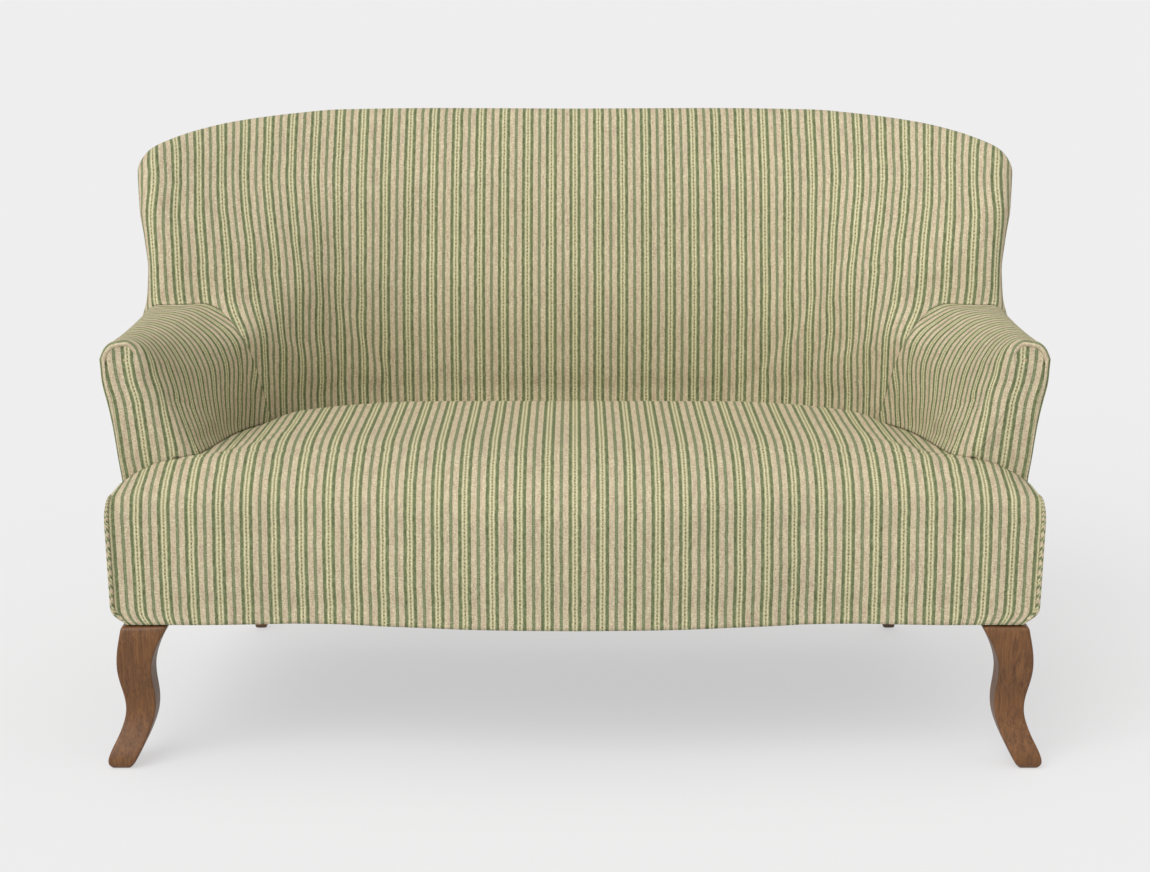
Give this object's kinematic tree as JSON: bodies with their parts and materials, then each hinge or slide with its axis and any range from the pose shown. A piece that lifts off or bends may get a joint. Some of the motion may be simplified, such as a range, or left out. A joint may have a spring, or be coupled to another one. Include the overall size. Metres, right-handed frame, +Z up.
{
  "type": "high back settee",
  "caption": "High back upholstered settee with curved wings, low rolled arms, a tight seat with a serpentine front, and turned-out wooden legs.",
  "frame": {"origin": "on the floor under the middle of the settee's box", "axes": "+X to the right as seen from the front, +Z up, the front faces -Y"},
  "size_m": [1.515, 0.8646, 0.9836],
  "materials": {
    "striped_cloth": "linen with a green and beige ticking stripe",
    "wadding": "soft padding",
    "hessian": "coarse plain weave",
    "spring_steel": "bare drawn wire and bolts",
    "beech": "planed, unfinished",
    "webbing": "woven strap",
    "black_cloth": "thin dust cloth",
    "stained_wood": "stained brown, satin"
  },
  "bodies": {
    "root": {"back_cover": "striped_cloth", "seat_cover": "striped_cloth", "arm_cover_right": "striped_cloth", "arm_cover_left": "striped_cloth", "outside_arm_panel_right": "striped_cloth", "outside_arm_panel_left": "striped_cloth", "outside_back_panel": "striped_cloth", "seat_side_panel_right": "striped_cloth", "seat_side_panel_left": "striped_cloth", "seat_piping_right": "striped_cloth", "seat_piping_left": "striped_cloth", "back_pad": "wadding", "edge_roll": "wadding", "seat_pad": "wadding", "arm_pad_right": "wadding", "arm_pad_left": "wadding", "seat_hessian": "hessian", "seat_spring_1": "spring_steel", "seat_spring_2": "spring_steel", "seat_spring_3": "spring_steel", "seat_spring_4": "spring_steel", "seat_spring_5": "spring_steel", "seat_spring_6": "spring_steel", "seat_spring_7": "spring_steel", "front_leg_bolt_right": "spring_steel", "front_leg_bolt_left": "spring_steel", "rear_leg_bolt_right": "spring_steel", "rear_leg_bolt_left": "spring_steel", "front_rail": "beech", "rear_rail": "beech", "side_rail_right": "beech", "side_rail_left": "beech", "seat_stretcher": "beech", "front_block_right": "beech", "front_block_left": "beech", "rear_block_right": "beech", "rear_block_left": "beech", "arm_post_right": "beech", "arm_post_left": "beech", "arm_top_rail_right": "beech", "arm_top_rail_left": "beech", "arm_lower_rail_right": "beech", "arm_lower_rail_left": "beech", "wing_post_right": "beech", "wing_post_left": "beech", "back_post_right": "beech", "back_post_left": "beech", "back_centre_post": "beech", "back_top_rail": "beech", "back_lower_rail": "beech", "back_web_across_1": "webbing", "back_web_across_2": "webbing", "back_web_across_3": "webbing", "back_web_upright_1": "webbing", "back_web_upright_2": "webbing", "dust_cover": "black_cloth", "front_leg_right": "stained_wood", "front_leg_left": "stained_wood", "rear_leg_right": "stained_wood", "rear_leg_left": "stained_wood"}
  },
  "joints": []
}
